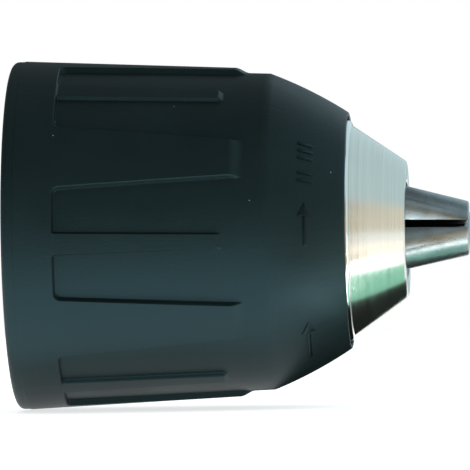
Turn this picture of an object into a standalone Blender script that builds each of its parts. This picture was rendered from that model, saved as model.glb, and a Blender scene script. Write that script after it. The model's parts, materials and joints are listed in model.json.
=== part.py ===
"""A 10 mm keyless drill chuck with a single grip sleeve, at rest with its jaws nearly closed.

The chuck's axis is +X, nose forward, and the origin is the middle of the seat face at its tail.
Turning the sleeve turns a split nut, whose tapered inside thread drives three slanted jaws.
Angles about the axis are measured from +Y towards +Z.
"""

import math

import bmesh
import bpy
from mathutils import Matrix, Vector

MM = 0.001

# Round parts, the gap that touching pieces keep, and how far a cutter runs past what it cuts
ROUND_STEPS = 48
SHARP_ANGLE = math.radians(32)
SLIDING_GAP = 0.3
OVERRUN = 1.0

# Jaws: each slides along an axis that meets the chuck's axis ahead of the tips
JAW_ANGLES = [math.radians(angle) for angle in (109, 229, 349)]
JAW_SLANT = math.radians(15.5)
JAW_RADIUS = 3.1
JAW_STEPS = 24
JAW_CROSSING_X = 57.0
JAW_TIP_X = 56.45
JAW_TIP_CHAMFER = 0.5
JAW_REAR_X = 21.35
JAW_GAP = 0.9
JAW_LAND_HEIGHT = 0.75

# Thread between jaws and nut, wound on the cone that the jaws' outer sides touch
THREAD_LEAD = 2.0 * math.cos(JAW_SLANT)
THREAD_STEPS = 40
THREAD_CREST = 0.62
THREAD_FLANK = 0.3
THREAD_DEPTH = 0.9
THREAD_CREST_LIFT = 0.05
THREAD_CLEARANCE = 0.15
THREAD_START_X = 16.5
THREAD_END_X = 46.0

# Body
TAIL_RADIUS = 11.0
FLANGE_REAR_X = 13.0
FLANGE_FRONT_X = 17.0
FLANGE_RADIUS = 17.3
NECK_RADIUS = 9.6
FRONT_X = 30.2
FRONT_RADIUS = 12.6
PILOT_X = 40.7
PILOT_RADIUS = 11.65
NOSE_CONE_X = 42.0
NOSE_FACE_X = 47.4
BORE_RADIUS = 5.2
BORE_END_X = 21.0
SCREW_HOLE_RADIUS = 2.9
SOCKET_DEPTH = 16.5
SOCKET_RADIUS = 4.4
SOCKET_CHAMFER = 1.0
BODY_CHAMFER = 0.4
PASSAGE_RADIUS = JAW_RADIUS + 0.25
PASSAGE_REAR_X = 3.0

# Nosepiece
NOSE_SLOPE = math.tan(math.radians(34.4))
SHOULDER_X = 41.1
SHOULDER_RADIUS = 13.65
SHOULDER_FRONT_X = 42.2
SHOULDER_CHAMFER = 0.2
SHOULDER_ROUND = 0.5
SHOULDER_ROUND_RISE = 0.25
CONE_BASE_RADIUS = 12.95
NOSEPIECE_FRONT_X = 48.85
NOSEPIECE_WALL_X = 47.7
NOSEPIECE_HOLE = 6.1
NOSEPIECE_EDGE = 0.1

# Thrust bearing
RACE_INNER = 14.7
RACE_OUTER = 17.3
RACE_THICKNESS = 1.0
REAR_RACE_X = 17.1
BALL_COUNT = 18
BALL_RADIUS = 1.0
BALL_CIRCLE = 16.2
BALL_PLAY = 0.05
BALL_X = REAR_RACE_X + RACE_THICKNESS + BALL_RADIUS + BALL_PLAY
FRONT_RACE_X = BALL_X + BALL_RADIUS + BALL_PLAY
CAGE_INNER = 14.75
CAGE_OUTER = 17.2
CAGE_THICKNESS = 0.8
CAGE_POCKET = BALL_RADIUS + 0.15
CAGE_POCKET_STEPS = 12

# Nut and its band
NUT_REAR_X = 21.7
NUT_FRONT_X = 29.7
NUT_RADIUS = 15.9
NUT_SPLIT_GAP = 0.3
BAND_INNER = 16.05
BAND_OUTER = 17.2
BAND_FRONT_X = 29.9
KEY_ANGLES = [math.radians(angle) for angle in (30, 150, 270)]
KEY_WIDTH = 4.0
KEY_REAR_X = 26.4
KEY_FRONT_X = 31.0
KEY_INNER = 16.25
KEY_OUTER = 18.4

# Rear cover
COVER_REAR_X = 1.3
COVER_FRONT_X = 2.5
COVER_OUTER = 19.0

# Grip sleeve, outside
SLEEVE_REAR_X = 0.5
SLEEVE_REAR_RADIUS = 20.4
SLEEVE_CORNER = 1.1
GRIP_REAR_X = 2.13
GRIP_REAR_RADIUS = 21.5
GRIP_FRONT_X = 27.9
GRIP_FRONT_RADIUS = 20.3
BAND_REAR_X = 29.75
FRONT_BAND_X = 32.25
FRONT_BAND_RADIUS = 19.5
NOSE_ARC_RADIUS = 51.5
NOSE_ARC_START = math.radians(21.4)
NOSE_ARC_END = math.radians(33.4)
NOSE_ARC_STEPS = 5

# Grip sleeve, pockets and ribs
POCKET_COUNT = 6
POCKET_PHASE = math.radians(3)
POCKET_REAR_X = 6.6
POCKET_WALL = 0.3
POCKET_DEPTH = 0.7
POCKET_HALF_REAR = math.radians(19.0)
POCKET_HALF_FRONT = math.radians(23.25)
POCKET_SIDE = math.radians(0.9)
RIB_HEIGHT = 0.5
RIB_HALF_REAR = math.radians(3.4)
RIB_HALF_FRONT = math.radians(2.15)
RIB_SIDE = math.radians(0.7)
RIB_FRONT_X = 26.4
RIB_FOOT_X = 27.1

# Grip sleeve, inside
SLEEVE_MOUTH = COVER_OUTER + SLIDING_GAP
SLEEVE_MOUTH_X = 3.2
SLEEVE_REAR_BORE = 18.8
SLEEVE_STEP_X = 12.0
SLEEVE_BORE = 17.7
SLEEVE_CONE_X = 31.0
SLEEVE_LIP_X = 39.2
SLEEVE_LIP_TOP = 13.6
SLEEVE_LIP_RADIUS = FRONT_RADIUS + SLIDING_GAP
SLEEVE_RECESS_X = SHOULDER_X - SLIDING_GAP
SLEEVE_RECESS_RADIUS = SHOULDER_RADIUS + SLIDING_GAP


def clear_scene():
    for obj in list(bpy.data.objects):
        bpy.data.objects.remove(obj)


def make_material(name, colour, roughness, metallic):
    material = bpy.data.materials.new(name)
    material.use_nodes = True
    shader = material.node_tree.nodes["Principled BSDF"]
    shader.inputs["Base Color"].default_value = (*colour, 1)
    shader.inputs["Roughness"].default_value = roughness
    shader.inputs["Metallic"].default_value = metallic
    return material


def add_object(name, mesh_data, material=None, matrix=None):
    """Closes off a bmesh as a named object, smooth on its round faces."""
    bmesh.ops.recalc_face_normals(mesh_data, faces=mesh_data.faces)
    mesh = bpy.data.meshes.new(name)
    mesh_data.to_mesh(mesh)
    mesh_data.free()
    mesh.shade_smooth()
    mesh.set_sharp_from_angle(angle=SHARP_ANGLE)
    obj = bpy.data.objects.new(name, mesh)
    bpy.context.collection.objects.link(obj)
    if matrix is not None:
        obj.matrix_world = matrix
    if material is None:
        obj.hide_render = True
        obj.display_type = "WIRE"
    else:
        mesh.materials.append(material)
    return obj


def combine(target, other, operation):
    modifier = target.modifiers.new(f"{operation.lower()} {other.name}", "BOOLEAN")
    modifier.operation = operation
    modifier.object = other


def about_axis(angle):
    return Matrix.Rotation(angle, 4, "X")


def ring_point(x, radius, angle):
    return Vector((x, radius * math.cos(angle), radius * math.sin(angle))) * MM


def bridge(mesh_data, first, second):
    """Joins two closed rings of as many vertices with a band of four-sided faces."""
    count = len(first)
    for i in range(count):
        after = (i + 1) % count
        mesh_data.faces.new((first[i], first[after], second[after], second[i]))


def turned(outline, steps=ROUND_STEPS):
    """A ring-shaped solid: the closed outline of (x, radius) points spun about the axis."""
    mesh_data = bmesh.new()
    rings = [
        [
            mesh_data.verts.new(ring_point(x, radius, math.tau * i / steps))
            for i in range(steps)
        ]
        for x, radius in outline
    ]
    for i, ring in enumerate(rings):
        bridge(mesh_data, ring, rings[(i + 1) % len(rings)])
    return mesh_data


def washer(rear_x, front_x, inner, outer):
    return turned([(rear_x, inner), (rear_x, outer), (front_x, outer), (front_x, inner)])


def rod_along_x(rear_x, front_x, radius, steps):
    mesh_data = bmesh.new()
    turn = Matrix.Rotation(math.pi / 2, 4, "Y")
    middle = Matrix.Translation(Vector(((rear_x + front_x) / 2, 0, 0)) * MM)
    bmesh.ops.create_cone(
        mesh_data,
        cap_ends=True,
        segments=steps,
        radius1=radius * MM,
        radius2=radius * MM,
        depth=(front_x - rear_x) * MM,
        matrix=middle @ turn,
    )
    return mesh_data


def block(low, high):
    mesh_data = bmesh.new()
    low, high = Vector(low), Vector(high)
    size = Matrix.Diagonal((*((high - low) * MM), 1))
    middle = Matrix.Translation((low + high) / 2 * MM)
    bmesh.ops.create_cube(mesh_data, size=1, matrix=middle @ size)
    return mesh_data


def jaw_matrix(angle):
    """The frame of a jaw: its own X runs along its slide, towards the tip, from the crossing point."""
    crossing = Matrix.Translation(Vector((JAW_CROSSING_X, 0, 0)) * MM)
    return about_axis(angle) @ crossing @ Matrix.Rotation(-JAW_SLANT, 4, "Z")


def along_jaw(x):
    """How far along a jaw's slide the chuck's x lies, from the crossing point."""
    return (x - JAW_CROSSING_X) / math.cos(JAW_SLANT)


def jaw_reach(x):
    """The radius of the cone that the jaws' outer sides touch."""
    return (JAW_CROSSING_X - x) * math.tan(JAW_SLANT) + JAW_RADIUS / math.cos(JAW_SLANT)


def thread_profile(grow):
    """One lead of the thread from crest end to crest end, as (share of x, depth below the crest)."""
    crest = THREAD_CREST + 2 * grow
    root_start = THREAD_FLANK
    root_end = THREAD_LEAD - crest - THREAD_FLANK
    crest_start = THREAD_LEAD - crest
    return [(0, 0), (root_start, THREAD_DEPTH), (root_end, THREAD_DEPTH), (crest_start, 0)]


def threaded_plug(end_x, nose, grow):
    """A tapered screw about the axis, right-handed, whose crests touch the jaws' outer sides.

    Column i is turned by i steps and moved forward by as much of a lead, so the last
    column meets the first one lead on. nose is an outline of (x, radius) ahead of the thread.
    """
    mesh_data = bmesh.new()
    profile = thread_profile(grow)
    leads = math.ceil((end_x - THREAD_START_X) / THREAD_LEAD)
    rows = leads * len(profile) + 1
    start_x = THREAD_START_X + THREAD_CREST / 2 + grow
    columns = []
    for i in range(THREAD_STEPS):
        turn = i / THREAD_STEPS
        column = []
        for j in range(rows + (len(profile) if i == 0 else 0)):
            lead, point = divmod(j, len(profile))
            offset, depth = profile[point]
            x = start_x + (lead + turn) * THREAD_LEAD + offset
            radius = jaw_reach(x) + THREAD_CREST_LIFT + grow - depth
            column.append(mesh_data.verts.new(ring_point(x, radius, math.tau * turn)))
        columns.append(column)
    columns.append(columns[0][len(profile):])
    for i in range(THREAD_STEPS):
        for j in range(rows - 1):
            left, right = columns[i], columns[i + 1]
            mesh_data.faces.new((left[j], right[j], right[j + 1], left[j + 1]))
    rear = mesh_data.verts.new(ring_point(start_x, 0, 0))
    rim = [column[0] for column in columns] + columns[0][len(profile) - 1:0:-1]
    for i, vertex in enumerate(rim):
        mesh_data.faces.new((rear, rim[(i + 1) % len(rim)], vertex))
    rings = [
        [
            mesh_data.verts.new(ring_point(x, radius, math.tau * i / THREAD_STEPS))
            for i in range(THREAD_STEPS)
        ]
        for x, radius in nose
    ]
    tops = [column[rows - 1] for column in columns]
    for i in range(THREAD_STEPS):
        after = (i + 1) % THREAD_STEPS
        mesh_data.faces.new((tops[i], tops[i + 1], rings[0][after], rings[0][i]))
    mesh_data.faces.new([*columns[0][rows - 1:], rings[0][0]])
    for first, second in zip(rings, rings[1:]):
        bridge(mesh_data, first, second)
    mesh_data.faces.new(rings[-1])
    return mesh_data


def make_chuck_body(material):
    outline = [
        (0, SOCKET_RADIUS + SOCKET_CHAMFER),
        (0, TAIL_RADIUS - BODY_CHAMFER),
        (BODY_CHAMFER, TAIL_RADIUS),
        (FLANGE_REAR_X, TAIL_RADIUS),
        (FLANGE_REAR_X, FLANGE_RADIUS - BODY_CHAMFER),
        (FLANGE_REAR_X + BODY_CHAMFER, FLANGE_RADIUS),
        (FLANGE_FRONT_X, FLANGE_RADIUS),
        (FLANGE_FRONT_X, NECK_RADIUS),
        (FRONT_X, NECK_RADIUS),
        (FRONT_X, FRONT_RADIUS),
        (PILOT_X, FRONT_RADIUS),
        (PILOT_X, PILOT_RADIUS),
        (NOSE_CONE_X, PILOT_RADIUS),
        (NOSE_FACE_X, PILOT_RADIUS - (NOSE_FACE_X - NOSE_CONE_X) * NOSE_SLOPE),
        (NOSE_FACE_X, BORE_RADIUS + BODY_CHAMFER),
        (NOSE_FACE_X - BODY_CHAMFER, BORE_RADIUS),
        (BORE_END_X, BORE_RADIUS),
        (BORE_END_X, SCREW_HOLE_RADIUS),
        (SOCKET_DEPTH, SCREW_HOLE_RADIUS),
        (SOCKET_DEPTH, SOCKET_RADIUS),
        (SOCKET_CHAMFER, SOCKET_RADIUS),
    ]
    body = add_object("chuck_body", turned(outline), material)
    for number, angle in enumerate(JAW_ANGLES, 1):
        rod = rod_along_x(along_jaw(PASSAGE_REAR_X), JAW_RADIUS, PASSAGE_RADIUS, JAW_STEPS)
        passage = add_object(f"jaw passage {number}", rod, matrix=jaw_matrix(angle))
        combine(body, passage, "DIFFERENCE")


def make_nosepiece(material):
    cone_drop = (NOSEPIECE_FRONT_X - SHOULDER_FRONT_X) * NOSE_SLOPE
    inner_radius = PILOT_RADIUS + SLIDING_GAP
    inner_drop = (NOSEPIECE_WALL_X - NOSE_CONE_X) * NOSE_SLOPE
    outline = [
        (SHOULDER_X, inner_radius),
        (SHOULDER_X, SHOULDER_RADIUS - SHOULDER_CHAMFER),
        (SHOULDER_X + SHOULDER_CHAMFER, SHOULDER_RADIUS),
        (SHOULDER_FRONT_X - SHOULDER_ROUND, SHOULDER_RADIUS),
        (SHOULDER_FRONT_X - NOSEPIECE_EDGE, SHOULDER_RADIUS - SHOULDER_ROUND_RISE),
        (SHOULDER_FRONT_X, CONE_BASE_RADIUS),
        (NOSEPIECE_FRONT_X - NOSEPIECE_EDGE, CONE_BASE_RADIUS - cone_drop + NOSEPIECE_EDGE),
        (NOSEPIECE_FRONT_X, CONE_BASE_RADIUS - cone_drop - NOSEPIECE_EDGE),
        (NOSEPIECE_FRONT_X, NOSEPIECE_HOLE),
        (NOSEPIECE_WALL_X, NOSEPIECE_HOLE),
        (NOSEPIECE_WALL_X, inner_radius - inner_drop),
        (NOSE_CONE_X, inner_radius),
    ]
    add_object("nosepiece", turned(outline), material)


def make_jaws(material):
    nose = [
        (THREAD_END_X + 2 * THREAD_LEAD, jaw_reach(THREAD_END_X)),
        (JAW_TIP_X - JAW_TIP_CHAMFER, jaw_reach(JAW_TIP_X) + THREAD_CREST_LIFT),
        (JAW_TIP_X, jaw_reach(JAW_TIP_X) - JAW_TIP_CHAMFER),
    ]
    screw = add_object("jaw thread", threaded_plug(THREAD_END_X, nose, 0))
    far = NUT_RADIUS
    apex = JAW_GAP / 2 / math.sin(math.pi / 3)
    for number, angle in enumerate(JAW_ANGLES, 1):
        rod = rod_along_x(along_jaw(JAW_REAR_X), JAW_RADIUS, JAW_RADIUS, JAW_STEPS)
        jaw = add_object(f"jaw_{number}", rod, material, jaw_matrix(angle))
        wedge_data = bmesh.new()
        corners = [
            (height, side * (height - apex) * math.tan(math.pi / 3))
            for height, side in (
                (JAW_LAND_HEIGHT, -1), (far, -1), (far, 1), (JAW_LAND_HEIGHT, 1)
            )
        ]
        ends = [
            [wedge_data.verts.new(Vector((x, y, z)) * MM) for y, z in corners]
            for x in (THREAD_START_X, JAW_TIP_X + OVERRUN)
        ]
        bridge(wedge_data, *ends)
        for end in ends:
            wedge_data.faces.new(end)
        wedge = add_object(f"jaw wedge {number}", wedge_data, matrix=about_axis(angle))
        combine(jaw, screw, "INTERSECT")
        combine(jaw, wedge, "INTERSECT")


def make_nut(material, band_material):
    nose = [(NUT_FRONT_X + 3 * THREAD_LEAD, jaw_reach(NUT_FRONT_X))]
    plug = threaded_plug(NUT_FRONT_X + OVERRUN, nose, THREAD_CLEARANCE)
    screw = add_object("nut thread", plug)
    hole = jaw_reach(NUT_FRONT_X) - THREAD_DEPTH - OVERRUN
    far = NUT_RADIUS + OVERRUN
    for side, sign in (("a", 1), ("b", -1)):
        ring = washer(NUT_REAR_X, NUT_FRONT_X, hole, NUT_RADIUS)
        half = add_object(f"nut_half_{side}", ring, material)
        heights = sorted((sign * NUT_SPLIT_GAP / 2, sign * far))
        low = (NUT_REAR_X - OVERRUN, -far, heights[0])
        high = (NUT_FRONT_X + OVERRUN, far, heights[1])
        combine(half, add_object(f"nut side {side}", block(low, high)), "INTERSECT")
        combine(half, screw, "DIFFERENCE")
    ring = washer(NUT_REAR_X, BAND_FRONT_X, BAND_INNER, BAND_OUTER)
    band = add_object("nut_band", ring, band_material)
    for number, angle in enumerate(KEY_ANGLES, 1):
        reach = KEY_WIDTH / 2 + SLIDING_GAP
        low = (KEY_REAR_X - SLIDING_GAP, NUT_RADIUS - OVERRUN, -reach)
        high = (KEY_FRONT_X, KEY_OUTER, reach)
        notch = add_object(f"key notch {number}", block(low, high), matrix=about_axis(angle))
        combine(band, notch, "DIFFERENCE")


def make_bearing(race_material, cage_material):
    for name, x in (("rear_race", REAR_RACE_X), ("front_race", FRONT_RACE_X)):
        ring = washer(x, x + RACE_THICKNESS, RACE_INNER, RACE_OUTER)
        add_object(name, ring, race_material)
    half = CAGE_THICKNESS / 2
    ring = washer(BALL_X - half, BALL_X + half, CAGE_INNER, CAGE_OUTER)
    cage = add_object("ball_cage", ring, cage_material)
    pockets = bmesh.new()
    for number in range(BALL_COUNT):
        place = Matrix.Translation(ring_point(BALL_X, BALL_CIRCLE, math.tau * number / BALL_COUNT))
        bmesh.ops.create_cone(
            pockets,
            cap_ends=True,
            segments=CAGE_POCKET_STEPS,
            radius1=CAGE_POCKET * MM,
            radius2=CAGE_POCKET * MM,
            depth=4 * CAGE_THICKNESS * MM,
            matrix=place @ Matrix.Rotation(math.pi / 2, 4, "Y"),
        )
        ball = bmesh.new()
        bmesh.ops.create_icosphere(ball, subdivisions=2, radius=BALL_RADIUS * MM)
        add_object(f"bearing_ball_{number + 1:02}", ball, race_material, place)
    combine(cage, add_object("cage pockets", pockets), "DIFFERENCE")


def make_rear_cover(material):
    inner = TAIL_RADIUS + SLIDING_GAP
    ring = washer(COVER_REAR_X, COVER_FRONT_X, inner, COVER_OUTER)
    add_object("rear_cover", ring, material)


def between(x, start, end):
    """How far x lies from start to end, held to 0 and 1."""
    return min(1, max(0, (x - start) / (end - start)))


def grip_radius(x):
    """The sleeve's tapered outer radius over the grip."""
    share = between(x, GRIP_REAR_X, GRIP_FRONT_X)
    return GRIP_REAR_RADIUS + (GRIP_FRONT_RADIUS - GRIP_REAR_RADIUS) * share


def sleeve_ring(mesh_data, x, land, floor, rib):
    """One ring of the sleeve, with the radii of its lands, pocket floors and ribs."""
    share = between(x, POCKET_REAR_X, GRIP_FRONT_X)
    pocket = POCKET_HALF_REAR + (POCKET_HALF_FRONT - POCKET_HALF_REAR) * share
    ridge = RIB_HALF_REAR + (RIB_HALF_FRONT - RIB_HALF_REAR) * share
    half_pitch = math.pi / POCKET_COUNT
    foot = ridge + RIB_SIDE
    wall = pocket - POCKET_SIDE
    side = [
        (ridge, rib),
        (foot, floor),
        ((foot + wall) / 2, floor),
        (wall, floor),
        (pocket, land),
        ((pocket + half_pitch) / 2, land),
    ]
    points = [(-half_pitch, land)]
    points += [(-angle, radius) for angle, radius in reversed(side)]
    points += side
    ring = []
    for number in range(POCKET_COUNT):
        middle = POCKET_PHASE + 2 * half_pitch * number
        ring += [mesh_data.verts.new(ring_point(x, radius, middle + angle)) for angle, radius in points]
    return ring


def sleeve_outside():
    """The sleeve's outer rings from rear to front, as (x, land, floor, rib) radii."""
    rings = [(SLEEVE_REAR_X, SLEEVE_REAR_RADIUS)]
    corner_x = GRIP_REAR_X - SLEEVE_CORNER
    corner_radius = GRIP_REAR_RADIUS - SLEEVE_CORNER
    for degrees in (30, 60, 90):
        turn = math.radians(degrees)
        x = corner_x + SLEEVE_CORNER * (1 - math.cos(turn))
        rings.append((x, corner_radius + SLEEVE_CORNER * math.sin(turn)))
    rings = [(x, radius, radius, radius) for x, radius in rings]
    rings.append((POCKET_REAR_X, *[grip_radius(POCKET_REAR_X)] * 3))
    for x in (POCKET_REAR_X + POCKET_WALL, (POCKET_REAR_X + RIB_FRONT_X) / 2, RIB_FRONT_X):
        floor = grip_radius(x) - POCKET_DEPTH
        rings.append((x, grip_radius(x), floor, floor + RIB_HEIGHT))
    for x in (RIB_FOOT_X, GRIP_FRONT_X):
        floor = grip_radius(x) - POCKET_DEPTH
        rings.append((x, grip_radius(x), floor, floor))
    rings.append((BAND_REAR_X, *[grip_radius(GRIP_FRONT_X) - POCKET_DEPTH] * 3))
    for step in range(NOSE_ARC_STEPS + 1):
        turn = NOSE_ARC_START + (NOSE_ARC_END - NOSE_ARC_START) * step / NOSE_ARC_STEPS
        x = FRONT_BAND_X + NOSE_ARC_RADIUS * (math.sin(turn) - math.sin(NOSE_ARC_START))
        radius = FRONT_BAND_RADIUS - NOSE_ARC_RADIUS * (math.cos(NOSE_ARC_START) - math.cos(turn))
        rings.append((x, radius, radius, radius))
    return rings


def sleeve_inside(front_x):
    """The sleeve's inner rings from front to rear, as (x, radius)."""
    return [
        (front_x, SLEEVE_RECESS_RADIUS),
        (SLEEVE_RECESS_X, SLEEVE_RECESS_RADIUS),
        (SLEEVE_RECESS_X, SLEEVE_LIP_RADIUS),
        (SLEEVE_LIP_X, SLEEVE_LIP_RADIUS),
        (SLEEVE_LIP_X, SLEEVE_LIP_TOP),
        (SLEEVE_CONE_X, SLEEVE_BORE),
        (SLEEVE_STEP_X, SLEEVE_BORE),
        (SLEEVE_STEP_X, SLEEVE_REAR_BORE),
        (SLEEVE_MOUTH_X, SLEEVE_REAR_BORE),
        (SLEEVE_MOUTH_X, SLEEVE_MOUTH),
        (SLEEVE_REAR_X, SLEEVE_MOUTH),
    ]


def make_grip_sleeve(material):
    mesh_data = bmesh.new()
    outside = sleeve_outside()
    inside = [(x, radius, radius, radius) for x, radius in sleeve_inside(outside[-1][0])]
    rings = [sleeve_ring(mesh_data, *ring) for ring in outside + inside]
    for i, ring in enumerate(rings):
        bridge(mesh_data, ring, rings[(i + 1) % len(rings)])
    sleeve = add_object("grip_sleeve", mesh_data, material)
    for number, angle in enumerate(KEY_ANGLES, 1):
        low = (KEY_REAR_X, KEY_INNER, -KEY_WIDTH / 2)
        high = (KEY_FRONT_X, KEY_OUTER, KEY_WIDTH / 2)
        key = add_object(f"sleeve key {number}", block(low, high), matrix=about_axis(angle))
        combine(sleeve, key, "UNION")


def main():
    clear_scene()
    plastic = make_material("moulded black nylon", (0.012, 0.017, 0.019), 0.55, 0)
    plated = make_material("turned plated steel", (0.72, 0.74, 0.70), 0.25, 1)
    jaw_steel = make_material("hardened jaw steel", (0.33, 0.34, 0.36), 0.35, 1)
    body_steel = make_material("machined body steel", (0.42, 0.42, 0.41), 0.4, 1)
    race_steel = make_material("polished bearing steel", (0.6, 0.6, 0.6), 0.2, 1)
    make_chuck_body(body_steel)
    make_nosepiece(plated)
    make_jaws(jaw_steel)
    make_nut(jaw_steel, body_steel)
    make_bearing(race_steel, body_steel)
    make_rear_cover(plastic)
    make_grip_sleeve(plastic)


main()
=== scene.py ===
import json
import math

import bpy
from mathutils import Matrix, Vector

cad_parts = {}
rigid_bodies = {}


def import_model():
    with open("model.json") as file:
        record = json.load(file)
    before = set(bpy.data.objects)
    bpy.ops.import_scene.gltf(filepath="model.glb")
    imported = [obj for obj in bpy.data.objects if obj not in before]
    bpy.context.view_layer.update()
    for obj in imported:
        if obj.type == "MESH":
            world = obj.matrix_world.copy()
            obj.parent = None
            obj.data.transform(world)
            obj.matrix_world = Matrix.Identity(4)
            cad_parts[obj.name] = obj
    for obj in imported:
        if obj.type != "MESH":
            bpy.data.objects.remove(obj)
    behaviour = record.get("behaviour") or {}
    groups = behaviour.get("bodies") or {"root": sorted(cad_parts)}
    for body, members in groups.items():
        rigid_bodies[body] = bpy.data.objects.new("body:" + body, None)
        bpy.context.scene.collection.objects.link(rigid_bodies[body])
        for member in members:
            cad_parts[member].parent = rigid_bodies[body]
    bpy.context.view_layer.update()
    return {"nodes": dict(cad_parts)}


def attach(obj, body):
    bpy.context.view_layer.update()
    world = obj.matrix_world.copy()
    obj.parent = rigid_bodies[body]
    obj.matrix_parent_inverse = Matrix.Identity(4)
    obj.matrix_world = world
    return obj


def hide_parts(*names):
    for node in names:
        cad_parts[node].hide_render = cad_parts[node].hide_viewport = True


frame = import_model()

# Keyless drill chuck, seen from the side with its nose to the right.
# The axis is +X, the tail's seat face is at X = 0, and turns are counted from +Y towards +Z.

mm = 0.001
weld = 0.000002                      # points closer than this are merged
near = 0.000003                      # a point this close to a plane or ring is on it
slideAngle = math.radians(15.5)      # slant of the jaws to the axis
jawTurns = (109, 229, 349)           # degrees round the axis
flatTurns = (-30, 30)                # a jaw's two side flats, degrees from its own direction


# small helpers

def linearColour(hexText):
    channels = [int(hexText[i:i + 2], 16) / 255 for i in (1, 3, 5)]
    return tuple(c / 12.92 if c <= 0.04045 else ((c + 0.055) / 1.055) ** 2.4 for c in channels) + (1,)


def addNode(tree, kind, settings=None, links=None):
    node = tree.nodes.new(kind)
    for key, value in (settings or {}).items():
        if key in node.inputs.keys() or isinstance(key, int):
            node.inputs[key].default_value = value
        else:
            setattr(node, key, value)
    for key, source in (links or {}).items():
        tree.links.new(source, node.inputs[key])
    return node


def newMaterial(name):
    material = bpy.data.materials.new(name)
    material.use_nodes = True
    return material, material.node_tree, material.node_tree.nodes["Principled BSDF"]


def deselectAll():
    if bpy.context.mode != "OBJECT":
        bpy.ops.object.mode_set(mode="OBJECT")
    bpy.ops.object.select_all(action="DESELECT")


def pickOnly(piece):
    deselectAll()
    piece.select_set(True)
    bpy.context.view_layer.objects.active = piece


def startPiece(name):                # the primitive just added gets its name
    piece = bpy.context.active_object
    piece.name = name
    piece.data.name = name
    return piece


def smoothSteps(share):
    share = min(1, max(0, share))
    return share * share * (3 - 2 * share)


def roundDirection(degrees):
    turn = math.radians(degrees)
    return Vector((0, math.cos(turn), math.sin(turn)))


def pullRing(x, fromX, scale):       # extrudes the selected ring along the axis and scales it about the axis
    bpy.ops.mesh.extrude_edges_move(TRANSFORM_OT_translate={"value": ((x - fromX) * mm, 0, 0)})
    bpy.ops.transform.resize(value=(1, scale, scale), center_override=(x * mm, 0, 0))


def turnOutline(name, outline, steps, closed=True):
    # a lathe job: a circle pulled along the outline of (x, radius) points in mm
    deselectAll()
    x, radius = outline[0]
    bpy.ops.mesh.primitive_circle_add(
        vertices=steps, radius=radius * mm, location=(x * mm, 0, 0), rotation=(0, math.pi / 2, 0))
    piece = startPiece(name)
    bpy.ops.object.transform_apply(location=True, rotation=True, scale=True)
    bpy.ops.object.mode_set(mode="EDIT")
    bpy.ops.mesh.select_all(action="SELECT")
    points = outline[1:] + (outline[:1] if closed else [])
    for nextX, nextRadius in points:
        pullRing(nextX, x, nextRadius / radius)
        x, radius = nextX, nextRadius
    bpy.ops.mesh.select_all(action="SELECT")
    bpy.ops.mesh.remove_doubles(threshold=weld)
    bpy.ops.mesh.normals_make_consistent(inside=False)
    bpy.ops.object.mode_set(mode="OBJECT")
    return piece


def finishPiece(piece, material, body, nodes, angle=30):
    pickOnly(piece)
    bpy.ops.object.transform_apply(location=True, rotation=True, scale=True)
    bpy.ops.object.shade_smooth_by_angle(angle=math.radians(angle))
    piece.data.materials.clear()
    piece.data.materials.append(material)
    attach(piece, body)
    if nodes:
        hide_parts(*nodes)


def arcPoints(centre, radius, fromDegrees, toDegrees, steps):
    # points of an arc in the (x, radius) half plane
    points = []
    for i in range(steps + 1):
        turn = math.radians(fromDegrees + (toDegrees - fromDegrees) * i / steps)
        points.append((centre[0] + radius * math.sin(turn), centre[1] + radius * math.cos(turn)))
    return points


# materials

def mouldedNylon(name, hexDark, hexLight, roughness, grainStrength):
    # Glass-filled nylon, injection moulded: near-black with a cool cast, a fine spark-eroded grain
    # that breaks the sheen into a soft satin, and a few pale scuffs from handling.
    material, tree, shader = newMaterial(name)
    coords = addNode(tree, "ShaderNodeTexCoord").outputs["Object"]
    cloud = addNode(tree, "ShaderNodeTexNoise", {"Scale": 90, "Detail": 4}, {"Vector": coords})   # 11 mm clouds
    tone = addNode(tree, "ShaderNodeValToRGB", None, {"Fac": cloud.outputs["Fac"]})
    tone.color_ramp.elements[0].position = 0.3
    tone.color_ramp.elements[0].color = linearColour(hexDark)
    tone.color_ramp.elements[1].position = 0.7
    tone.color_ramp.elements[1].color = linearColour(hexLight)
    speck = addNode(tree, "ShaderNodeTexVoronoi", {"Scale": 420, "Randomness": 1}, {"Vector": coords})   # 2.4 mm apart
    speckSpot = addNode(tree, "ShaderNodeMapRange", {1: 0.035, 2: 0.02, 3: 0, 4: 1}, {0: speck.outputs["Distance"]})
    speckPick = addNode(tree, "ShaderNodeSeparateColor", None, {"Color": speck.outputs["Color"]})
    speckFew = addNode(tree, "ShaderNodeMath", {"operation": "GREATER_THAN", 1: 0.84}, {0: speckPick.outputs[0]})
    speckMask = addNode(tree, "ShaderNodeMath", {"operation": "MULTIPLY"},
                        {0: speckSpot.outputs[0], 1: speckFew.outputs[0]})
    colour = addNode(tree, "ShaderNodeMix", {"data_type": "RGBA", 7: linearColour("#8fa3a4")},
                     {0: speckMask.outputs[0], 6: tone.outputs["Color"]})
    tree.links.new(colour.outputs[2], shader.inputs["Base Color"])
    sheen = addNode(tree, "ShaderNodeMapRange", {1: 0.3, 2: 0.7, 3: roughness - 0.05, 4: roughness + 0.05},
                    {0: cloud.outputs["Fac"]})
    tree.links.new(sheen.outputs[0], shader.inputs["Roughness"])
    grain = addNode(tree, "ShaderNodeTexNoise", {"Scale": 3000, "Detail": 3, "Roughness": 0.6},
                    {"Vector": coords})      # 0.3 mm grain: the real one, about 0.1 mm, would not show
    bump = addNode(tree, "ShaderNodeBump", {"Strength": grainStrength, "Distance": 0.00006},
                   {"Height": grain.outputs["Fac"]})
    tree.links.new(bump.outputs["Normal"], shader.inputs["Normal"])
    shader.inputs["IOR"].default_value = 1.53
    shader.inputs["Specular IOR Level"].default_value = 0.33                   # the grain swallows part of the sheen
    shader.inputs["Specular Tint"].default_value = linearColour("#a9e4ee")     # the dye cools the sheen
    return material


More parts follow.
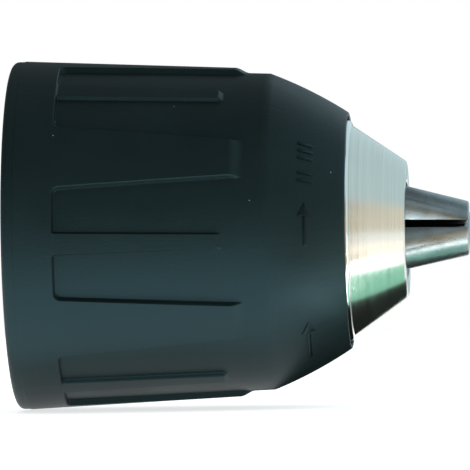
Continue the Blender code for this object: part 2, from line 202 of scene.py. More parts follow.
def turnedSteel(name, hexDark, hexLight, roughness, lineDepth, lineScale):
    # Steel left from the lathe and plated: bright, with fine rings round the axis that
    # stretch every reflection across them.
    material, tree, shader = newMaterial(name)
    coords = addNode(tree, "ShaderNodeTexCoord").outputs["Object"]
    spread = addNode(tree, "ShaderNodeMapping", {"Scale": (1, 0.004, 0.004)}, {"Vector": coords})
    rings = addNode(tree, "ShaderNodeTexNoise", {"Scale": lineScale, "Detail": 6, "Roughness": 0.75},
                    {"Vector": spread.outputs["Vector"]})
    tone = addNode(tree, "ShaderNodeValToRGB", None, {"Fac": rings.outputs["Fac"]})
    tone.color_ramp.elements[0].position = 0.3
    tone.color_ramp.elements[0].color = linearColour(hexDark)
    tone.color_ramp.elements[1].position = 0.68
    tone.color_ramp.elements[1].color = linearColour(hexLight)
    tree.links.new(tone.outputs["Color"], shader.inputs["Base Color"])
    rough = addNode(tree, "ShaderNodeMapRange", {1: 0.25, 2: 0.75, 3: roughness - 0.05, 4: roughness + 0.08},
                    {0: rings.outputs["Fac"]})
    tree.links.new(rough.outputs[0], shader.inputs["Roughness"])
    bump = addNode(tree, "ShaderNodeBump", {"Strength": 0.35, "Distance": lineDepth * mm},
                   {"Height": rings.outputs["Fac"]})
    tree.links.new(bump.outputs["Normal"], shader.inputs["Normal"])
    shader.inputs["Metallic"].default_value = 1
    return material


def groundSteel(name, hexDark, hexLight, roughness):
    # Hardened steel with a ground finish: a duller grey, clouded by oil, with short scratches.
    material, tree, shader = newMaterial(name)
    coords = addNode(tree, "ShaderNodeTexCoord").outputs["Object"]
    cloud = addNode(tree, "ShaderNodeTexNoise", {"Scale": 260, "Detail": 5}, {"Vector": coords})   # 4 mm clouds
    spread = addNode(tree, "ShaderNodeMapping", {"Scale": (0.12, 1, 1)}, {"Vector": coords})
    scratch = addNode(tree, "ShaderNodeTexNoise", {"Scale": 4500, "Detail": 3, "Roughness": 0.7},
                      {"Vector": spread.outputs["Vector"]})   # 0.2 mm wide scratches, coarser than real so they show
    tone = addNode(tree, "ShaderNodeValToRGB", None, {"Fac": cloud.outputs["Fac"]})
    tone.color_ramp.elements[0].position = 0.32
    tone.color_ramp.elements[0].color = linearColour(hexDark)
    tone.color_ramp.elements[1].position = 0.66
    tone.color_ramp.elements[1].color = linearColour(hexLight)
    tree.links.new(tone.outputs["Color"], shader.inputs["Base Color"])
    rough = addNode(tree, "ShaderNodeMapRange", {1: 0.3, 2: 0.7, 3: roughness - 0.05, 4: roughness + 0.09},
                    {0: scratch.outputs["Fac"]})
    tree.links.new(rough.outputs[0], shader.inputs["Roughness"])
    bump = addNode(tree, "ShaderNodeBump", {"Strength": 0.1, "Distance": 0.00004},
                   {"Height": scratch.outputs["Fac"]})
    tree.links.new(bump.outputs["Normal"], shader.inputs["Normal"])
    shader.inputs["Metallic"].default_value = 1
    return material


nylon = mouldedNylon("moulded glass-filled nylon", "#0f1616", "#141c1c", 0.47, 0.5)
# the marks' darker colours are painted shade, since the marks are the sleeve's own plastic; only their lower roughness
# is real polish
polishedShadedNylon = mouldedNylon("polished nylon with painted shade", "#0a0f10", "#0e1415", 0.3, 0.05)
# turning lines 0.3 mm apart on the cone and the body, where the real 0.1 mm feed would not show,
# and a faint 0.4 mm waviness where the plating is polished
noseSteel = turnedSteel("turned nickel-plated steel", "#c9c7be", "#deddd4", 0.18, 0.03, 3600)
rimSteel = turnedSteel("polished nickel-plated steel", "#d4d6d4", "#eceeec", 0.1, 0.004, 2600)
bodySteel = turnedSteel("machined carbon steel", "#8d8f8e", "#b4b5b1", 0.36, 0.03, 3600)
jawSteel = groundSteel("ground hardened jaw steel", "#868d8f", "#a9b0b1", 0.3)
# painted shade: a near-black steel for the jaw flats that face each other, standing in for the shadow in the narrow
# gaps
gapShadedSteel = groundSteel("jaw steel with painted gap shade", "#1d1b19", "#2e2a26", 0.5)
raceSteel = groundSteel("polished bearing steel", "#a9acae", "#c8cacb", 0.16)
print("materials made")


# grip sleeve: one pocket wide, copied round, then both ends pulled on from it

grip = {
    "rearX": 0.5, "cornerRadius": 1.1,
    "gripX": 2.13, "gripRadius": 21.5,            # widest, just ahead of the rear corner
    "frontX": 27.9, "frontRadius": 20.3,          # where the lands end
    "rampX": 29.75, "bandX": 32.25, "bandRadius": 19.5,
    "noseRadius": 51.5, "noseStart": 21.4, "noseEnd": 33.4,
    "pockets": 6, "firstPocket": 3,               # degrees
    "pocketX": 6.6, "pocketDepth": 0.7, "pocketWall": 0.34, "pocketCorner": 0.9,
    "pocketHalf": (19.0, 23.25),                  # degrees, at pocketX and at frontX
    "ribHeight": 0.5, "ribWall": 0.26, "ribHalf": (3.4, 2.15), "ribEndX": 26.4, "ribFootX": 27.1,
    "cornerBack": 0.91, "partingStep": 0.05, "recessX": 40.8, "recess": 14.15,
    "boreOutline": (                              # inside, from the recess to the rear face
        (40.8, 12.9), (39.2, 12.9), (39.2, 13.6), (31.0, 17.7), (12.0, 17.7), (12.0, 18.8),
        (3.2, 18.8), (3.2, 19.3), (0.75, 19.3), (0.5, 19.5)),
}


def between(x, pair):                # a value that runs evenly from the pocket's rear to the lands' front
    share = min(1, max(0, (x - grip["pocketX"]) / (grip["frontX"] - grip["pocketX"])))
    return pair[0] + (pair[1] - pair[0]) * share


def landRadius(x):
    slope = (grip["frontRadius"] - grip["gripRadius"]) / (grip["frontX"] - grip["gripX"])
    return grip["gripRadius"] + slope * (min(x, grip["frontX"]) - grip["gripX"])


def floorRadius(x):
    low = landRadius(x) - grip["pocketDepth"]
    share = min(1, max(0, (x - grip["rampX"]) / (grip["bandX"] - grip["rampX"])))
    return low + (grip["bandRadius"] - low) * share


def gripRadius(x, degrees):          # radius of the patterned surface, degrees from the pocket's middle
    side = math.radians(between(x, grip["pocketHalf"]) - abs(degrees)) * landRadius(x)
    ahead = x - grip["pocketX"]
    corner = grip["pocketCorner"]
    inside = min(side, ahead)
    if side < corner and ahead < corner:
        inside = corner - math.hypot(corner - side, corner - ahead)
    ribSide = math.radians(between(x, grip["ribHalf"]) - abs(degrees)) * landRadius(x)
    ribEnd = 1 - smoothSteps((x - grip["ribEndX"]) / (grip["ribFootX"] - grip["ribEndX"]))
    rib = grip["ribHeight"] * smoothSteps(ribSide / grip["ribWall"] + 1) * ribEnd
    ramp = 1 - smoothSteps((x - grip["frontX"]) / (grip["rampX"] - grip["frontX"]))
    low = floorRadius(x)
    land = low + (landRadius(x) - low) * ramp
    return land + (low + rib - land) * smoothSteps(inside / grip["pocketWall"])


def spread(start, end, count):       # count points after start, the last one at end
    return [start + (end - start) * (i + 1) / count for i in range(count)]


def gripRows():
    rows = [grip["gripX"]] + spread(grip["gripX"], grip["pocketX"] - 0.2, 3)
    rows += [grip["pocketX"] + step for step in (-0.08, 0, 0.06, 0.12, 0.18, 0.24, 0.3, 0.38, 0.5, 0.64, 0.8, 1.0)]
    rows += spread(rows[-1], grip["ribEndX"] - 0.15, 9)
    rows += spread(grip["ribEndX"] - 0.1, grip["ribFootX"] + 0.05, 8)
    rows += spread(rows[-1], grip["frontX"] - 0.1, 2)
    rows += spread(grip["frontX"] - 0.1, grip["rampX"] + 0.1, 12)
    return rows + spread(rows[-1], grip["bandX"], 4)


def halfColumns(x):                  # degrees from the pocket's middle to the middle of a land
    perMm = math.degrees(1 / landRadius(x))
    ridge = between(x, grip["ribHalf"])
    wall = between(x, grip["pocketHalf"])
    columns = [0, ridge - 0.35 * perMm]
    columns += [ridge + step * perMm for step in (-0.08, 0.0, 0.06, 0.13, 0.2, 0.26, 0.34)]
    columns += spread(columns[-1], wall - 1.3 * perMm, 5)
    columns += [wall - step * perMm for step in (1.0, 0.8, 0.64, 0.5, 0.38, 0.3, 0.24, 0.18, 0.12, 0.06, 0, -0.08)]
    return columns + spread(columns[-1], 180 / grip["pockets"], 5)


def makeGripSleeve():
    rows = gripRows()
    count = 2 * (len(halfColumns(rows[0])) - 1)
    deselectAll()
    bpy.ops.mesh.primitive_grid_add(x_subdivisions=len(rows) - 1, y_subdivisions=count, size=1)
    sector = startPiece("grip_sleeve_skin")
    for vertex in sector.data.vertices:      # the flat grid is laid on the sleeve
        row = round((vertex.co.x + 0.5) * (len(rows) - 1))
        column = round((vertex.co.y + 0.5) * count) - count // 2
        x = rows[row]
        degrees = math.copysign(halfColumns(x)[abs(column)], column)
        vertex.co = roundDirection(degrees + grip["firstPocket"]) * gripRadius(x, degrees) * mm
        vertex.co.x = x * mm
    for number in range(1, grip["pockets"]):
        pickOnly(sector)
        bpy.ops.object.duplicate()
        turn = math.tau * number / grip["pockets"]
        bpy.context.active_object.data.transform(Matrix.Rotation(turn, 4, "X"))
    pickOnly(sector)
    for piece in bpy.data.objects:
        if piece.name.startswith("grip_sleeve_skin"):
            piece.select_set(True)
    bpy.ops.object.join()
    bpy.ops.object.mode_set(mode="EDIT")
    bpy.ops.mesh.select_all(action="SELECT")
    bpy.ops.mesh.remove_doubles(threshold=2 * weld)
    pullGripEnds(sector, rows)
    bpy.ops.mesh.select_all(action="SELECT")
    bpy.ops.mesh.remove_doubles(threshold=weld)
    bpy.ops.mesh.normals_make_consistent(inside=False)
    bpy.ops.object.mode_set(mode="OBJECT")
    finishPiece(sector, nylon, "sleeve", ["grip_sleeve"], 32)


def selectRing(piece, x):            # selects the edges of the ring at one place along the axis
    bpy.ops.object.mode_set(mode="OBJECT")
    mesh = piece.data
    for vertex in mesh.vertices:
        vertex.select = abs(vertex.co.x - x * mm) < near
    for edge in mesh.edges:
        edge.select = all(mesh.vertices[i].select for i in edge.vertices)
    for face in mesh.polygons:
        face.select = False
    bpy.ops.object.mode_set(mode="EDIT")


def noseOutline(steps):              # the convex cone ahead of the front band
    start, end = grip["noseStart"], grip["noseEnd"]
    turn = math.radians(start)
    centre = (grip["bandX"] - grip["noseRadius"] * math.sin(turn),
              grip["bandRadius"] - grip["noseRadius"] * math.cos(turn))
    return arcPoints(centre, grip["noseRadius"], start, end, steps)


def pullGripEnds(piece, rows):
    # forward: the cone, its rounded rim, the recess round the nosepiece and then the bore to the rear
    cone = noseOutline(14)
    frontX, frontRadius = cone[-1]
    forward = cone[1:-1]
    forward += [(frontX - 0.16, frontRadius + 0.1), (frontX - 0.04, frontRadius), (frontX, frontRadius - 0.12)]
    forward += [(frontX, grip["recess"] + 0.15), (frontX - 0.1, grip["recess"]), (grip["recessX"], grip["recess"])]
    forward += list(grip["boreOutline"])
    # rearward: a shallow parting line, then the rounded rear corner
    cornerX = grip["gripX"] - grip["cornerBack"]
    cornerSteps = 7
    corner = arcPoints((cornerX, grip["gripRadius"] - grip["cornerRadius"] - grip["partingStep"]),
                       grip["cornerRadius"], 0, -90, cornerSteps)
    shift = corner[-1][0] - grip["rearX"]
    corner = [(x - shift * i / cornerSteps, radius) for i, (x, radius) in enumerate(corner)]
    rearward = [(grip["gripX"] - 0.1, grip["gripRadius"])]
    rearward += [(grip["gripX"] - 0.16, grip["gripRadius"] - grip["partingStep"])]
    rearward += corner + [grip["boreOutline"][-1]]
    ends = ((rows[-1], grip["bandRadius"], forward), (rows[0], grip["gripRadius"], rearward))
    for startX, startRadius, outline in ends:
        selectRing(piece, startX)
        x, radius = startX, startRadius
        for nextX, nextRadius in outline:
            pullRing(nextX, x, nextRadius / radius)
            x, radius = nextX, nextRadius


makeGripSleeve()
print("grip sleeve made")


# raised marks on the sleeve's cone: arrows and graduation ticks, no lettering

marks = {
    "x": 37.15, "height": 1.75, "stroke": 0.36, "rise": 0.14, "sink": 0.15, "head": 1.6,
    "arrows": ((-6.0, 1, 5.2), (-62.0, 1, 6.6)),                # start in degrees above the side, way round, mm
    "ticks": ((30.5, 3, 1.0), (20.5, 2, 1.0)),                  # start, how many, mm apart
}


def coneRadius(x):
    turn = math.radians(grip["noseStart"])
    centreX = grip["bandX"] - grip["noseRadius"] * math.sin(turn)
    centreRadius = grip["bandRadius"] - grip["noseRadius"] * math.cos(turn)
    return centreRadius + math.sqrt(grip["noseRadius"] ** 2 - (x - centreX) ** 2)


def addStroke(middle, width, length):        # a flat strip in mm, across x wide and round the cone long
    deselectAll()
    bpy.ops.mesh.primitive_grid_add(x_subdivisions=2, y_subdivisions=max(2, round(length / 0.3)), size=1)
    stroke = startPiece("mark")
    stroke.data.transform(Matrix.Translation((0, middle, 0)) @ Matrix.Diagonal((width, length, 1, 1)))
    return stroke


def addArrow(start, way, length):
    middle = math.radians(start) * coneRadius(marks["x"])
    shaft = addStroke(middle + way * (length - marks["head"]) / 2, marks["stroke"], length - marks["head"])
    head = addStroke(0, marks["height"], marks["head"])
    for vertex in head.data.vertices:            # the strip narrows to the arrow's point
        share = vertex.co.y / marks["head"] + 0.5
        vertex.co.x *= max(0.06, 1 - share)
        vertex.co.y = middle + way * (length - marks["head"] * (1 - share))
    return [shaft, head]


def raiseMark(piece, number):
    pickOnly(piece)
    bpy.ops.object.mode_set(mode="EDIT")
    bpy.ops.mesh.select_all(action="SELECT")
    bpy.ops.mesh.extrude_region_move(TRANSFORM_OT_translate={"value": (0, 0, marks["rise"] + marks["sink"])})
    bpy.ops.object.mode_set(mode="OBJECT")
    for vertex in piece.data.vertices:           # laid round the cone and sunk a little into it
        x = marks["x"] + vertex.co.x
        degrees = 180 - math.degrees(vertex.co.y / coneRadius(marks["x"]))
        vertex.co = roundDirection(degrees) * (coneRadius(x) + vertex.co.z - marks["sink"]) * mm
        vertex.co.x = x * mm
    bpy.ops.object.mode_set(mode="EDIT")
    bpy.ops.mesh.select_all(action="SELECT")
    bpy.ops.mesh.normals_make_consistent(inside=False)
    bpy.ops.object.mode_set(mode="OBJECT")
    piece.name = f"cone_mark_{number}"
    bevel = piece.modifiers.new("soft edge", "BEVEL")
    bevel.width = 0.05 * mm
    bevel.segments = 2
    bevel.limit_method = "ANGLE"
    bpy.ops.object.modifier_apply(modifier=bevel.name)
    # the marks get the darker nylon: painted shade
    finishPiece(piece, polishedShadedNylon, "sleeve", [], 40)


def makeMarks():
    pieces = []
    for start, way, length in marks["arrows"]:
        pieces += addArrow(start, way, length)
    for start, count, apart in marks["ticks"]:
        first = math.radians(start) * coneRadius(marks["x"])
        pieces += [addStroke(first + i * apart, marks["height"], marks["stroke"]) for i in range(count)]
    for number, piece in enumerate(pieces, 1):
        raiseMark(piece, number)


makeMarks()
print("marks made")


# nosepiece

nose = {
    "shoulderX": 41.1, "shoulderRadius": 13.65, "coneX": 42.2, "coneRadius": 12.95,
    "frontX": 48.85, "slope": math.tan(math.radians(34.4)), "hole": 6.1, "wallX": 47.7, "boreRadius": 11.95,
    "boreX": 42.0, "shoulderRound": 0.62, "midX": 45.5, "steps": 192,
}


def makeNosepiece():
    slope = nose["slope"]
    tipRadius = nose["coneRadius"] - (nose["frontX"] - nose["coneX"]) * slope
    innerTip = nose["boreRadius"] - (nose["wallX"] - nose["boreX"]) * slope
    shoulder = nose["shoulderRadius"]
    corner = nose["shoulderRound"]
    outline = [
        (nose["shoulderX"], nose["boreRadius"]),
        (nose["shoulderX"], shoulder - 0.15), (nose["shoulderX"] + 0.05, shoulder - 0.04),
        (nose["shoulderX"] + 0.15, shoulder)]
    outline += arcPoints((nose["coneX"] - corner, shoulder - corner), corner, 0, 68, 6)
    outline += [
        (nose["coneX"] - 0.02, nose["coneRadius"] + 0.1), (nose["coneX"] + 0.03, nose["coneRadius"] - 0.03),
        (nose["coneX"] + 0.12, nose["coneRadius"] - 0.12 * slope),
        (nose["midX"], nose["coneRadius"] - (nose["midX"] - nose["coneX"]) * slope),
        (nose["frontX"] - 0.3, tipRadius + 0.3 * slope), (nose["frontX"] - 0.12, tipRadius + 0.06),
        (nose["frontX"] - 0.03, tipRadius - 0.06), (nose["frontX"], tipRadius - 0.2),
        (nose["frontX"], nose["hole"] + 0.2), (nose["frontX"] - 0.05, nose["hole"] + 0.06),
        (nose["frontX"] - 0.2, nose["hole"]), (nose["wallX"], nose["hole"]),
        (nose["wallX"], innerTip), (nose["boreX"], nose["boreRadius"])]
    piece = turnOutline("nosepiece_shell", outline, nose["steps"])
    finishPiece(piece, noseSteel, "body", ["nosepiece"], 24)
    piece.data.materials.append(rimSteel)
    for face in piece.data.polygons:         # the shoulder ring is polished, the cone is left from the lathe
        if face.center.x < (nose["coneX"] - 0.01) * mm or face.center.yz.length < (nose["hole"] + 0.02) * mm:
            face.material_index = 1


makeNosepiece()
print("nosepiece made")


# jaws: a threaded rod, trimmed to its flats and tip

jaw = {
    "radius": 3.1, "crossX": 57.0, "tipX": 56.45, "rear": -36.99, "front": 3.0, "endChamfer": 0.3, "sides": 72,
    "gap": 0.9, "landHeight": 0.75, "tipBevel": 0.22, "tipRound": 0.8, "edgeBevel": 0.13,
    "lead": 2.0, "threadFrom": -35.96, "threadTo": -9.2, "threadDepth": 0.85,
    "grooveRings": (0.0, 0.31, 1.05, 1.36),       # edge, root, root and edge of one groove
}


def jawOutline(phase):               # rings along the jaw, four for each thread groove
    rear = jaw["rear"]
    chamferX = rear + jaw["endChamfer"]
    points = [(rear, jaw["radius"] - jaw["endChamfer"]), (chamferX, jaw["radius"])]
    start = jaw["threadFrom"] + (phase - 1) * jaw["lead"]
    grooves = [end for end in (rear, chamferX) if start + 0.25 < end < start + jaw["grooveRings"][2]]
    while start + 1.4 < jaw["threadTo"]:
        rings = [start + step for step in jaw["grooveRings"]]
        points += [(ring, jaw["radius"]) for ring in rings if ring > chamferX + 0.05]
        grooves += [ring for ring in rings[1:3] if ring > chamferX + 0.05]
        start += jaw["lead"]
    return points + [(jaw["front"], jaw["radius"])], grooves


def cutAway(point, normal):          # trims the whole mesh off on the side the normal points to
    bpy.ops.mesh.select_all(action="SELECT")
    bpy.ops.mesh.bisect(plane_co=point, plane_no=normal, use_fill=True, clear_outer=True, threshold=0.000001)


def bevelWhere(piece, wanted, width, segments):
    bpy.ops.mesh.select_all(action="DESELECT")
    bpy.ops.object.mode_set(mode="OBJECT")
    mesh = piece.data
    for edge in mesh.edges:
        edge.select = wanted(*[mesh.vertices[i].co for i in edge.vertices])
    bpy.ops.object.mode_set(mode="EDIT")
    bpy.ops.mesh.select_mode(type="EDGE")
    bpy.ops.mesh.bevel(offset=width * mm, segments=segments, affect="EDGES")
    bpy.ops.mesh.select_mode(type="VERT")


def onSideFlat(points, degrees, within):     # all the points lie on one side flat of the jaw
    for side in flatTurns:
        heights = [abs(p.dot(roundDirection(degrees + side)) - jaw["gap"] / 2 * mm) for p in points]
        if max(heights) < within:
            return True
    return False


def cutThread(piece, grooves):       # on the side that faces the nut, with walls square to the chuck's axis
    root = (jaw["radius"] - jaw["threadDepth"]) * mm
    threadRear = (jaw["rear"] + jaw["endChamfer"] + 0.01) * mm
    for vertex in piece.data.vertices:
        if any(abs(vertex.co.x - ring * mm) < 0.00001 for ring in grooves):
            vertex.co.y = min(vertex.co.y, root)
        if threadRear < vertex.co.x < 0:
            vertex.co.x += (jaw["radius"] * mm - max(vertex.co.y, root)) * math.tan(slideAngle)


def trimJaw(degrees):                # the two side flats, the land that grips the bit, and the tip
    outward = roundDirection(degrees)
    for side in flatTurns:
        inward = roundDirection(degrees + side)
        cutAway(inward * jaw["gap"] / 2 * mm, -inward)
    cutAway(outward * jaw["landHeight"] * mm, -outward)
    cutAway((jaw["tipX"] * mm, 0, 0), (1, 0, 0))


def softenJaw(piece, degrees):
    outward = roundDirection(degrees)

    def onTip(a, b):
        return min(a.x, b.x) > jaw["tipX"] * mm - near

    def outerTip(a, b):
        return onTip(a, b) and (a + b).yz.length / 2 > jaw["radius"] * mm and (a - b).length < 0.0006

    def innerTip(a, b):
        return onTip(a, b) and onSideFlat((a, b), degrees, near)

    def longEdge(a, b):
        alongAxis = abs((a - b).normalized().x) > 0.9 and max(a.x, b.x) > 0.046
        straight = (a.yz - b.yz).length < 0.0012 or (a - b).length > 0.006
        return alongAxis and straight and onSideFlat((a, b), degrees, 0.00001) and (a + b).dot(outward) > 0

    bevelWhere(piece, outerTip, jaw["tipBevel"], 2)
    bevelWhere(piece, innerTip, jaw["tipRound"], 4)
    bevelWhere(piece, longEdge, jaw["edgeBevel"], 2)


def makeJaw(number, degrees):
    outline, grooves = jawOutline((number - 1) / 3)
    piece = turnOutline(f"jaw_{number}_ground", outline, jaw["sides"], closed=False)
    cutThread(piece, grooves)
    pickOnly(piece)
    bpy.ops.object.mode_set(mode="EDIT")
    bpy.ops.mesh.select_all(action="DESELECT")
    for end in (jaw["rear"], jaw["front"]):
        selectRing(piece, end)
        bpy.ops.mesh.edge_face_add()
    bpy.ops.object.mode_set(mode="OBJECT")
    place = Matrix.Rotation(math.radians(degrees), 4, "X") @ Matrix.Translation((jaw["crossX"] * mm, 0, 0))
    piece.data.transform(place @ Matrix.Rotation(-slideAngle, 4, "Z"))
    bpy.ops.object.mode_set(mode="EDIT")
    trimJaw(degrees)
    softenJaw(piece, degrees)
    bpy.ops.mesh.select_all(action="SELECT")
    bpy.ops.mesh.remove_doubles(threshold=weld)
    bpy.ops.mesh.normals_make_consistent(inside=False)
    bpy.ops.object.mode_set(mode="OBJECT")
    finishPiece(piece, jawSteel, f"jaw_{number}", [f"jaw_{number}"], 28)
    piece.data.materials.append(gapShadedSteel)
    for face in piece.data.polygons:         # the flats that face the other jaws and the bit get painted shade, near-black like the shadowed gaps between the jaws
        reach = [face.center.dot(roundDirection(degrees + side)) / mm for side in (-30, 0, 30)]
        flats = (reach[0] - jaw["gap"] / 2, reach[1] - jaw["landHeight"], reach[2] - jaw["gap"] / 2)
        if min(abs(height) for height in flats) < 0.004:
            face.material_index = 1


for jawNumber, jawTurn in enumerate(jawTurns, 1):
    makeJaw(jawNumber, jawTurn)
print("jaws made")


# body and rear cover

bodyCore = {
    "tail": 11.0, "flangeX": (13.0, 17.0), "flange": 17.3, "neck": 9.6, "shoulderX": 30.2, "front": 12.6,
    "pilotX": 40.7, "pilot": 11.65, "noseX": 42.0, "noseFaceX": 47.4, "bore": 5.2, "boreEndX": 21.0,
    "screwHole": 2.9, "socketX": 16.5, "socket": 4.4, "steps": 144,
    "passage": 3.35, "drillLength": 56, "drillPast": 3,   # the drill runs this far past where the jaws meet
}


def makeBody():
    noseDrop = (bodyCore["noseFaceX"] - bodyCore["noseX"]) * nose["slope"]
    noseRadius = bodyCore["pilot"] - noseDrop
    rearFlange, frontFlange = bodyCore["flangeX"]
    outline = [
        (0, bodyCore["socket"] + 1), (0, bodyCore["tail"] - 0.45), (0.1, bodyCore["tail"] - 0.12),
        (0.45, bodyCore["tail"]), (rearFlange, bodyCore["tail"]), (rearFlange, bodyCore["flange"] - 0.4),
        (rearFlange + 0.4, bodyCore["flange"]), (frontFlange, bodyCore["flange"]), (frontFlange, bodyCore["neck"]),
        (bodyCore["shoulderX"], bodyCore["neck"]), (bodyCore["shoulderX"], bodyCore["front"]),
        (bodyCore["pilotX"], bodyCore["front"]), (bodyCore["pilotX"], bodyCore["pilot"]),
        (bodyCore["noseX"], bodyCore["pilot"]), (bodyCore["noseFaceX"], noseRadius),
        (bodyCore["noseFaceX"], bodyCore["bore"] + 0.4), (bodyCore["noseFaceX"] - 0.4, bodyCore["bore"]),
        (bodyCore["boreEndX"], bodyCore["bore"]), (bodyCore["boreEndX"], bodyCore["screwHole"]),
        (bodyCore["socketX"], bodyCore["screwHole"]), (bodyCore["socketX"], bodyCore["socket"]),
        (1, bodyCore["socket"])]
    body = turnOutline("chuck_body_turned", outline, bodyCore["steps"])
    for degrees in jawTurns:                 # three drilled passages, one for each jaw
        deselectAll()
        length = bodyCore["drillLength"] * mm
        bpy.ops.mesh.primitive_cylinder_add(vertices=64, radius=bodyCore["passage"] * mm, depth=length,
                                            rotation=(0, math.pi / 2, 0))
        drill = startPiece("drill")
        bpy.ops.object.transform_apply(location=True, rotation=True, scale=True)
        place = Matrix.Rotation(math.radians(degrees), 4, "X") @ Matrix.Translation((jaw["crossX"] * mm, 0, 0))
        along = Matrix.Translation((-length / 2 + bodyCore["drillPast"] * mm, 0, 0))
        drill.data.transform(place @ Matrix.Rotation(-slideAngle, 4, "Z") @ along)
        cut = body.modifiers.new("passage", "BOOLEAN")
        cut.operation = "DIFFERENCE"
        cut.object = drill
        pickOnly(body)
        bpy.ops.object.modifier_apply(modifier=cut.name)
        bpy.data.objects.remove(drill)
    finishPiece(body, bodySteel, "body", ["chuck_body"], 30)


cover = {"rearX": 1.3, "frontX": 2.5, "hole": 11.3, "rim": 19.0, "rimRound": 0.3, "steps": 144}


def makeRearCover():
    rearX, rim = cover["rearX"], cover["rim"]
    outline = [
        (rearX, cover["hole"] + 0.05), (rearX, rim - cover["rimRound"]), (rearX + 0.08, rim - 0.12),
        (rearX + cover["rimRound"], rim), (cover["frontX"], rim), (cover["frontX"], cover["hole"]),
        (rearX + 0.15, cover["hole"])]
    piece = turnOutline("rear_cover_moulded", outline, cover["steps"])
    finishPiece(piece, nylon, "body", ["rear_cover"], 30)


makeBody()
makeRearCover()
print("body and rear cover made")


# inner parts that keep their shape and get a finish

innerFinish = {"nut_band": bodySteel, "ball_cage": bodySteel, "nut_half_a": jawSteel, "nut_half_b": jawSteel,
               "rear_race": raceSteel, "front_race": raceSteel}
for nodeName, node in frame["nodes"].items():
    finish = innerFinish.get(nodeName) or (raceSteel if nodeName.startswith("bearing_ball") else None)
    if finish:
        node.data.materials.clear()
        node.data.materials.append(finish)
print("inner parts finished")


# floor, light and camera

tableZ = -21.2                       # the low lights and flags lie half a millimetre above the floor
studio = {
    "floorZ": -21.7, "floorSize": 1.3, "floorGlow": 0.7, "room": "#697274",
    "distance": 866.0, "aimX": 27.5, "crossX": 85.2, "aimZ": -0.35, "roll": 0.92, "width": 57.9, "sensor": 36.0,
    # parts of the room that reflections see: direction, where the glow starts and is full, colour
    "glows": (
        ((0, -1, 0.3), 0.6, 0.95, "#959c95"),             # dim room behind the camera
        ((0, 0, 1), 0.6, 0.95, "#747f82"),                # ceiling
        ((0.8, 0.6, 0.1), 0.6, 0.68, "#cfeaf4"),          # cool window, back right
        ((0.8, -0.1, 0.58), 0.9, 0.95, "#cfeaf4"),        # the same window's near end
        ((0.95, -0.25, 0.1), 0.93, 0.965, "#f4f0e2"),     # warm window, right
        ((0.42, -0.62, 0.66), 0.93, 0.98, "#aebcc4"),     # skylight over the camera's right
    ),
    # name, place and aim in mm, size in metres, brightness, colour, seen in reflections
    "lamps": (
        ("overhead bank", (30, 100, 900), (30, 0, 0), (1.4, 1.4), 0.8, "#ffffff", False),
        ("front table light", (10, -38, tableZ), (10, -38, 900), (0.11, 0.044), 1.15, "#dcf2ff", True),
        ("side table light", (65, -17.5, tableZ), (65, -17.5, 900), (0.030, 0.018), 3.8, "#f6feff", True),
    ),
    # name, place and aim in mm, turn in degrees, size in metres, colour, glow
    "flags": (
        ("green flag", (59.3, -3.1, tableZ), (59.3, -3.1, 900), 45, (0.030, 0.022), "#98e6cc", 1.0),
        ("dark flag", (40.4, 23.9, tableZ), (40.4, 23.9, 900), 45, (0.060, 0.044), "#070c0a", 1.0),
        ("brown flag", (78, -46, -4.5), (58, -3, -4.5), 0, (0.026, 0.033), "#b9a27a", 1.0),
        ("brown table flag", (72, -35, tableZ), (72, -35, 900), 0, (0.030, 0.022), "#b9a27a", 1.0),
        ("cream table flag", (108, -38, tableZ), (108, -38, 900), 0, (0.050, 0.036), "#fff9f0", 1.7),
    ),
}


def makeFloor():
    deselectAll()
    bpy.ops.mesh.primitive_plane_add(size=studio["floorSize"], location=(0, 0, studio["floorZ"] * mm))
    floor = startPiece("studio_floor")
    material, tree, shader = newMaterial("backlit white acrylic")
    coords = addNode(tree, "ShaderNodeTexCoord").outputs["Object"]
    haze = addNode(tree, "ShaderNodeTexNoise", {"Scale": 40, "Detail": 2}, {"Vector": coords})     # 25 mm haze
    tone = addNode(tree, "ShaderNodeMapRange", {1: 0.3, 2: 0.7, 3: 0.9, 4: 0.93}, {0: haze.outputs["Fac"]})
    tree.links.new(tone.outputs[0], shader.inputs["Base Color"])
    shader.inputs["Roughness"].default_value = 0.9
    shader.inputs["Specular IOR Level"].default_value = 0
    shader.inputs["Emission Color"].default_value = (1, 1, 1, 1)
    shader.inputs["Emission Strength"].default_value = studio["floorGlow"]
    floor.data.materials.append(material)


def aimed(place, aim):
    turn = (Vector(aim) - Vector(place)).to_track_quat("-Z", "Y").to_matrix().to_4x4()
    return Matrix.Translation(Vector(place) * mm) @ turn


def addCard(name, place, aim, turn, size, hexText, glow):
    # a card beside the object that only reflections see
    deselectAll()
    bpy.ops.mesh.primitive_plane_add(size=1)
    card = startPiece(name)
    turned = Matrix.Rotation(math.radians(turn), 4, "Z") @ Matrix.Diagonal((*size, 1, 1))
    card.data.transform(aimed(place, aim) @ turned)
    material, tree, shader = newMaterial(name)
    shader.inputs["Base Color"].default_value = (0, 0, 0, 1)
    shader.inputs["Specular IOR Level"].default_value = 0
    shader.inputs["Emission Color"].default_value = linearColour(hexText)
    shader.inputs["Emission Strength"].default_value = glow
    card.data.materials.append(material)
    card.visible_camera = False
    card.visible_shadow = False
    card.visible_diffuse = False


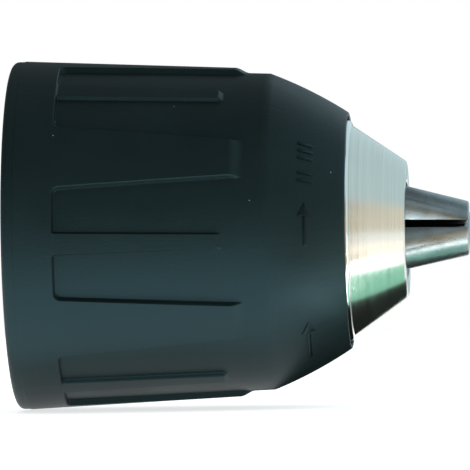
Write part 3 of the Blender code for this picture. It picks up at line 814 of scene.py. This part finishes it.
def addSoftbox(name, place, aim, size, brightness, hexText, inReflections):
    light = bpy.data.lights.new(name, "AREA")
    light.shape = "RECTANGLE"
    light.size, light.size_y = size
    light.energy = brightness * math.pi * size[0] * size[1]
    light.color = linearColour(hexText)[:3]
    lamp = bpy.data.objects.new(name, light)
    bpy.context.scene.collection.objects.link(lamp)
    lamp.matrix_world = aimed(place, aim)
    lamp.visible_camera = False
    lamp.visible_glossy = inReflections


def makeWorld():
    world = bpy.data.worlds.new("studio")
    bpy.context.scene.world = world
    world.use_nodes = True
    tree = world.node_tree
    way = addNode(tree, "ShaderNodeTexCoord").outputs["Generated"]
    plainRoom = {"data_type": "RGBA", 0: 0.0, 6: linearColour(studio["room"])}
    room = addNode(tree, "ShaderNodeMix", plainRoom).outputs[2]
    for direction, start, full, hexText in studio["glows"]:
        lined = addNode(tree, "ShaderNodeVectorMath", {"operation": "DOT_PRODUCT", 1: Vector(direction).normalized()},
                        {0: way})
        share = addNode(tree, "ShaderNodeMapRange", {"interpolation_type": "SMOOTHSTEP", 1: start, 2: full},
                        {0: lined.outputs["Value"]})
        room = addNode(tree, "ShaderNodeMix", {"data_type": "RGBA", 7: linearColour(hexText)},
                       {0: share.outputs[0], 6: room}).outputs[2]
    # the camera itself sees a plain white backdrop
    seen = addNode(tree, "ShaderNodeLightPath").outputs["Is Camera Ray"]
    shown = addNode(tree, "ShaderNodeMix", {"data_type": "RGBA", 7: (1, 1, 1, 1)}, {0: seen, 6: room})
    tree.links.new(shown.outputs[2], tree.nodes["Background"].inputs["Color"])


def makeLights():
    makeWorld()
    for lamp in studio["lamps"]:
        addSoftbox(*lamp)
    for flag in studio["flags"]:
        addCard(*flag)


def makeCamera():
    data = bpy.data.cameras.new("camera")
    data.sensor_width = studio["sensor"]
    data.lens = studio["sensor"] * studio["distance"] / studio["width"]
    data.clip_start, data.clip_end = 0.05, 20
    camera = bpy.data.objects.new("camera", data)
    bpy.context.scene.collection.objects.link(camera)
    place = (studio["crossX"], -studio["distance"], studio["aimZ"])
    aim = (studio["aimX"], 0, studio["aimZ"])
    camera.matrix_world = aimed(place, aim) @ Matrix.Rotation(math.radians(-studio["roll"]), 4, "Z")
    bpy.context.scene.camera = camera
    bpy.context.scene.view_settings.view_transform = "Standard"


makeFloor()
makeLights()
makeCamera()
print("floor, light and camera made")
